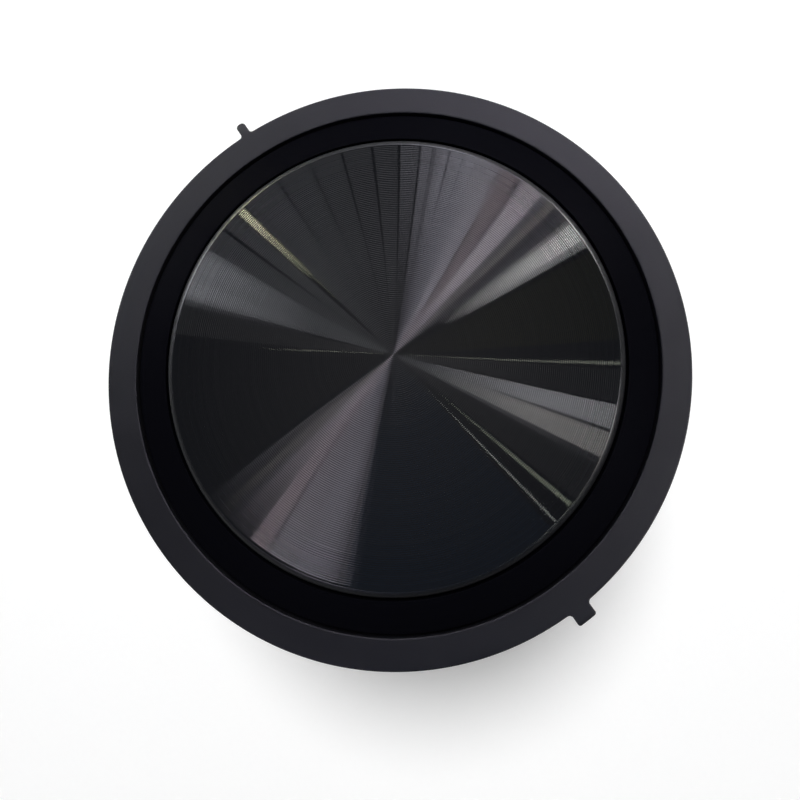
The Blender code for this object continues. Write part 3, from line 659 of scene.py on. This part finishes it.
# %% Strip lamp table
STRIPS = [  # bearings from, to, lean from, to, brightness, colour
    (3.0, 27.0, 0.68, 0.82, 1.0, "#e6e260"),
    (28.4, 30.4, 0.76, 0.83, 70.0, "#ffffff"),
    (30.5, 31.6, 0.75, 0.90, 92.0, "#ffffff"),
    (31.7, 32.7, 0.75, 0.90, 94.0, "#ffffff"),
    (32.8, 33.7, 0.75, 0.90, 92.0, "#ffffff"),
    (33.8, 34.8, 0.75, 0.90, 90.0, "#ffffff"),
    (34.9, 35.8, 0.75, 0.90, 82.0, "#ffffff"),
    (35.9, 37.2, 0.74, 0.84, 40.0, "#ffffff"),
    (37.4, 39.4, 0.35, 0.60, 8.5, "#f4f0ff"),
    (39.6, 41.4, 0.35, 0.60, 6.0, "#f4f0ff"),
    (41.6, 44.0, 0.35, 0.60, 17.0, "#fff8f4"),
    (44.2, 46.2, 0.35, 0.60, 13.0, "#f4f0ff"),
    (46.3, 53.2, 0.35, 0.60, 26.0, "#fbf0ff"),
    (46.3, 52.4, 0.72, 0.78, 46.0, "#fff6fa"),
    (53.2, 58.2, 0.20, 0.37, 37.0, "#fdeaf6"),
    (59.0, 66.0, 0.20, 0.37, 33.0, "#f6f0ff"),
    (58.8, 63.2, 0.64, 0.70, 38.0, "#f6f0ff"),
    (63.4, 66.6, 0.72, 0.80, 18.0, "#f2f2ff"),
    (66.1, 68.4, 0.20, 0.37, 25.0, "#f0ecff"),
    (68.5, 72.0, 0.20, 0.37, 21.0, "#f0ecff"),
    (72.1, 75.6, 0.20, 0.37, 18.0, "#f0ecff"),
    (75.7, 77.2, 0.20, 0.37, 11.0, "#f0ecff"),
    (67.0, 70.3, 0.70, 0.84, 18.0, "#f2f2ff"),
    (70.6, 74.2, 0.70, 0.84, 17.0, "#f2f2ff"),
    (74.7, 78.2, 0.70, 0.80, 20.0, "#f2f2ff"),
    (77.1, 81.6, 0.20, 0.37, 8.0, "#f0ecff"),
    (78.3, 79.2, 0.68, 0.80, 9.0, "#f2f2ff"),
    (79.4, 82.4, 0.68, 0.80, 14.0, "#f2f2ff"),
    (83.0, 88.2, 0.66, 0.80, 9.0, "#f2f2ff"),
    (89.0, 95.7, 0.55, 0.72, 4.4, "#f4f6ff"),
    (96.5, 104.3, 0.55, 0.72, 3.8, "#f4f6ff"),
    (105.0, 113.6, 0.55, 0.72, 4.2, "#f4f6ff"),
    (114.2, 123.6, 0.55, 0.72, 4.5, "#f4f6ff"),
    (124.3, 135.2, 0.55, 0.72, 5.4, "#f4f6ff"),
    (135.4, 136.4, 0.69, 0.73, 55.0, "#ffffd8"),
    (136.0, 138.0, 0.72, 0.80, 130.0, "#ffffd8"),
    (138.4, 143.3, 0.55, 0.72, 5.6, "#f4f6ff"),
    (144.3, 150.4, 0.55, 0.72, 5.2, "#f4f6ff"),
    (150.8, 165.0, 0.28, 0.50, 7.5, "#f4f6ff"),
    (150.6, 152.4, 0.71, 0.80, 16.0, "#f4f6ff"),
    (152.4, 157.2, 0.71, 0.80, 28.0, "#f4f6ff"),
    (157.2, 159.9, 0.71, 0.80, 22.0, "#f4f6ff"),
    (159.9, 163.8, 0.71, 0.80, 30.0, "#f4f6ff"),
    (163.8, 165.4, 0.71, 0.80, 19.0, "#f4f6ff"),
    (165.4, 166.8, 0.71, 0.80, 9.0, "#f4f6ff"),
    (167.0, 175.0, 0.45, 0.62, 1.7, "#ffffff"),
    (246.6, 257.2, 0.72, 0.84, 16.0, "#f4ecff"),
    (257.6, 262.4, 0.72, 0.84, 6.0, "#f4f0ff"),
    (259.0, 312.4, 0.70, 0.82, 1.4, "#3aa8ff"),
    (313.9, 314.6, 0.77, 0.86, 55.0, "#f8fff8"),
    (319.0, 320.2, 0.80, 0.92, 33.0, "#f4ffe4"),
    (321.4, 332.0, 0.62, 0.76, 1.8, "#ffffff"),
    (333.2, 339.6, 0.76, 0.90, 36.0, "#fffaf6"),
    (334.4, 334.9, 0.77, 0.83, 110.0, "#ffffff"),
    (340.4, 346.6, 0.76, 0.90, 40.0, "#fafaff"),
    (347.2, 355.6, 0.60, 0.75, 1.7, "#ffffff"),
    (356.5, 357.2, 0.52, 0.60, 60.0, "#f8ffe8"),
]
print("brightest strip lamp:", max(row[4] for row in STRIPS))

# %% Patches of the dome
DOME, ACROSS, OUT = 800.0, 6, 5  # radius in millimetres, cells along bearing and lean
SPOT_RADIUS = 20.0
to_camera = camera_place - [0, 0, GLASS_Z]


def strip(start, end, near, far):
    """A patch of the dome: direction k b - e, completed to unit length upwards.

    The eye's direction e is taken from the middle of the glass along b, and from a spot further out
    across b.
    """
    b = np.radians(np.linspace(start, end, ACROSS + 1))[None, :, None]
    k = np.linspace(near, far, OUT + 1)[:, None, None]
    outwards = np.concatenate([np.cos(b), np.sin(b)], axis=-1)
    across_way = np.concatenate([-np.sin(b), np.cos(b)], axis=-1)
    spot = np.concatenate([SPOT_RADIUS * outwards, 0 * b], axis=-1)
    distance = np.linalg.norm(to_camera - spot, axis=-1, keepdims=True)
    along = (outwards @ to_camera[:2])[..., None] / np.linalg.norm(to_camera)
    aside = (across_way @ to_camera[:2])[..., None] / distance
    side = (k - along) * outwards - aside * across_way
    up = np.sqrt(1 - (side**2).sum(axis=-1, keepdims=True))
    return np.concatenate([side, up], axis=-1) * DOME + [0, 0, GLASS_Z]


line = ACROSS + 1
patch = (np.arange(OUT)[:, None] * line + np.arange(ACROSS))[..., None] + [0, 1, line + 1, line]
panel_points = np.concatenate([strip(*row[:4]).reshape(-1, 3) for row in STRIPS]) * MM
panel_faces = patch.reshape(-1, 4) + line * (OUT + 1) * np.arange(len(STRIPS))[:, None, None]
panel_faces = panel_faces.reshape(-1, 4)
print("panels:", len(panel_faces), "faces")

# %% Strip lamps
glow = np.repeat([np.array(colour(row[5])) * row[4] for row in STRIPS], ACROSS * OUT, axis=0)
panels = bpy.data.objects.new("strip_lamps", bpy.data.meshes.new("strip_lamps"))
panels.data.from_pydata(panel_points.tolist(), [], panel_faces.tolist())
panels.data.attributes.new("glow", "FLOAT_COLOR", "FACE").data.foreach_set("color", glow.ravel())
bpy.context.scene.collection.objects.link(panels)
lamp, tree, shader, place = new_finish("strip lamp")
glow_of_face = add(tree, "ShaderNodeAttribute", attribute_name="glow")
shine = add(tree, "ShaderNodeEmission", {"Color": glow_of_face.outputs["Color"]})
tree.links.new(shine.outputs["Emission"], tree.nodes["Material Output"].inputs["Surface"])
panels.data.materials.append(lamp)
panels.visible_camera = panels.visible_diffuse = False
print(len(STRIPS), "strip lamps on a dome of", DOME, "mm")
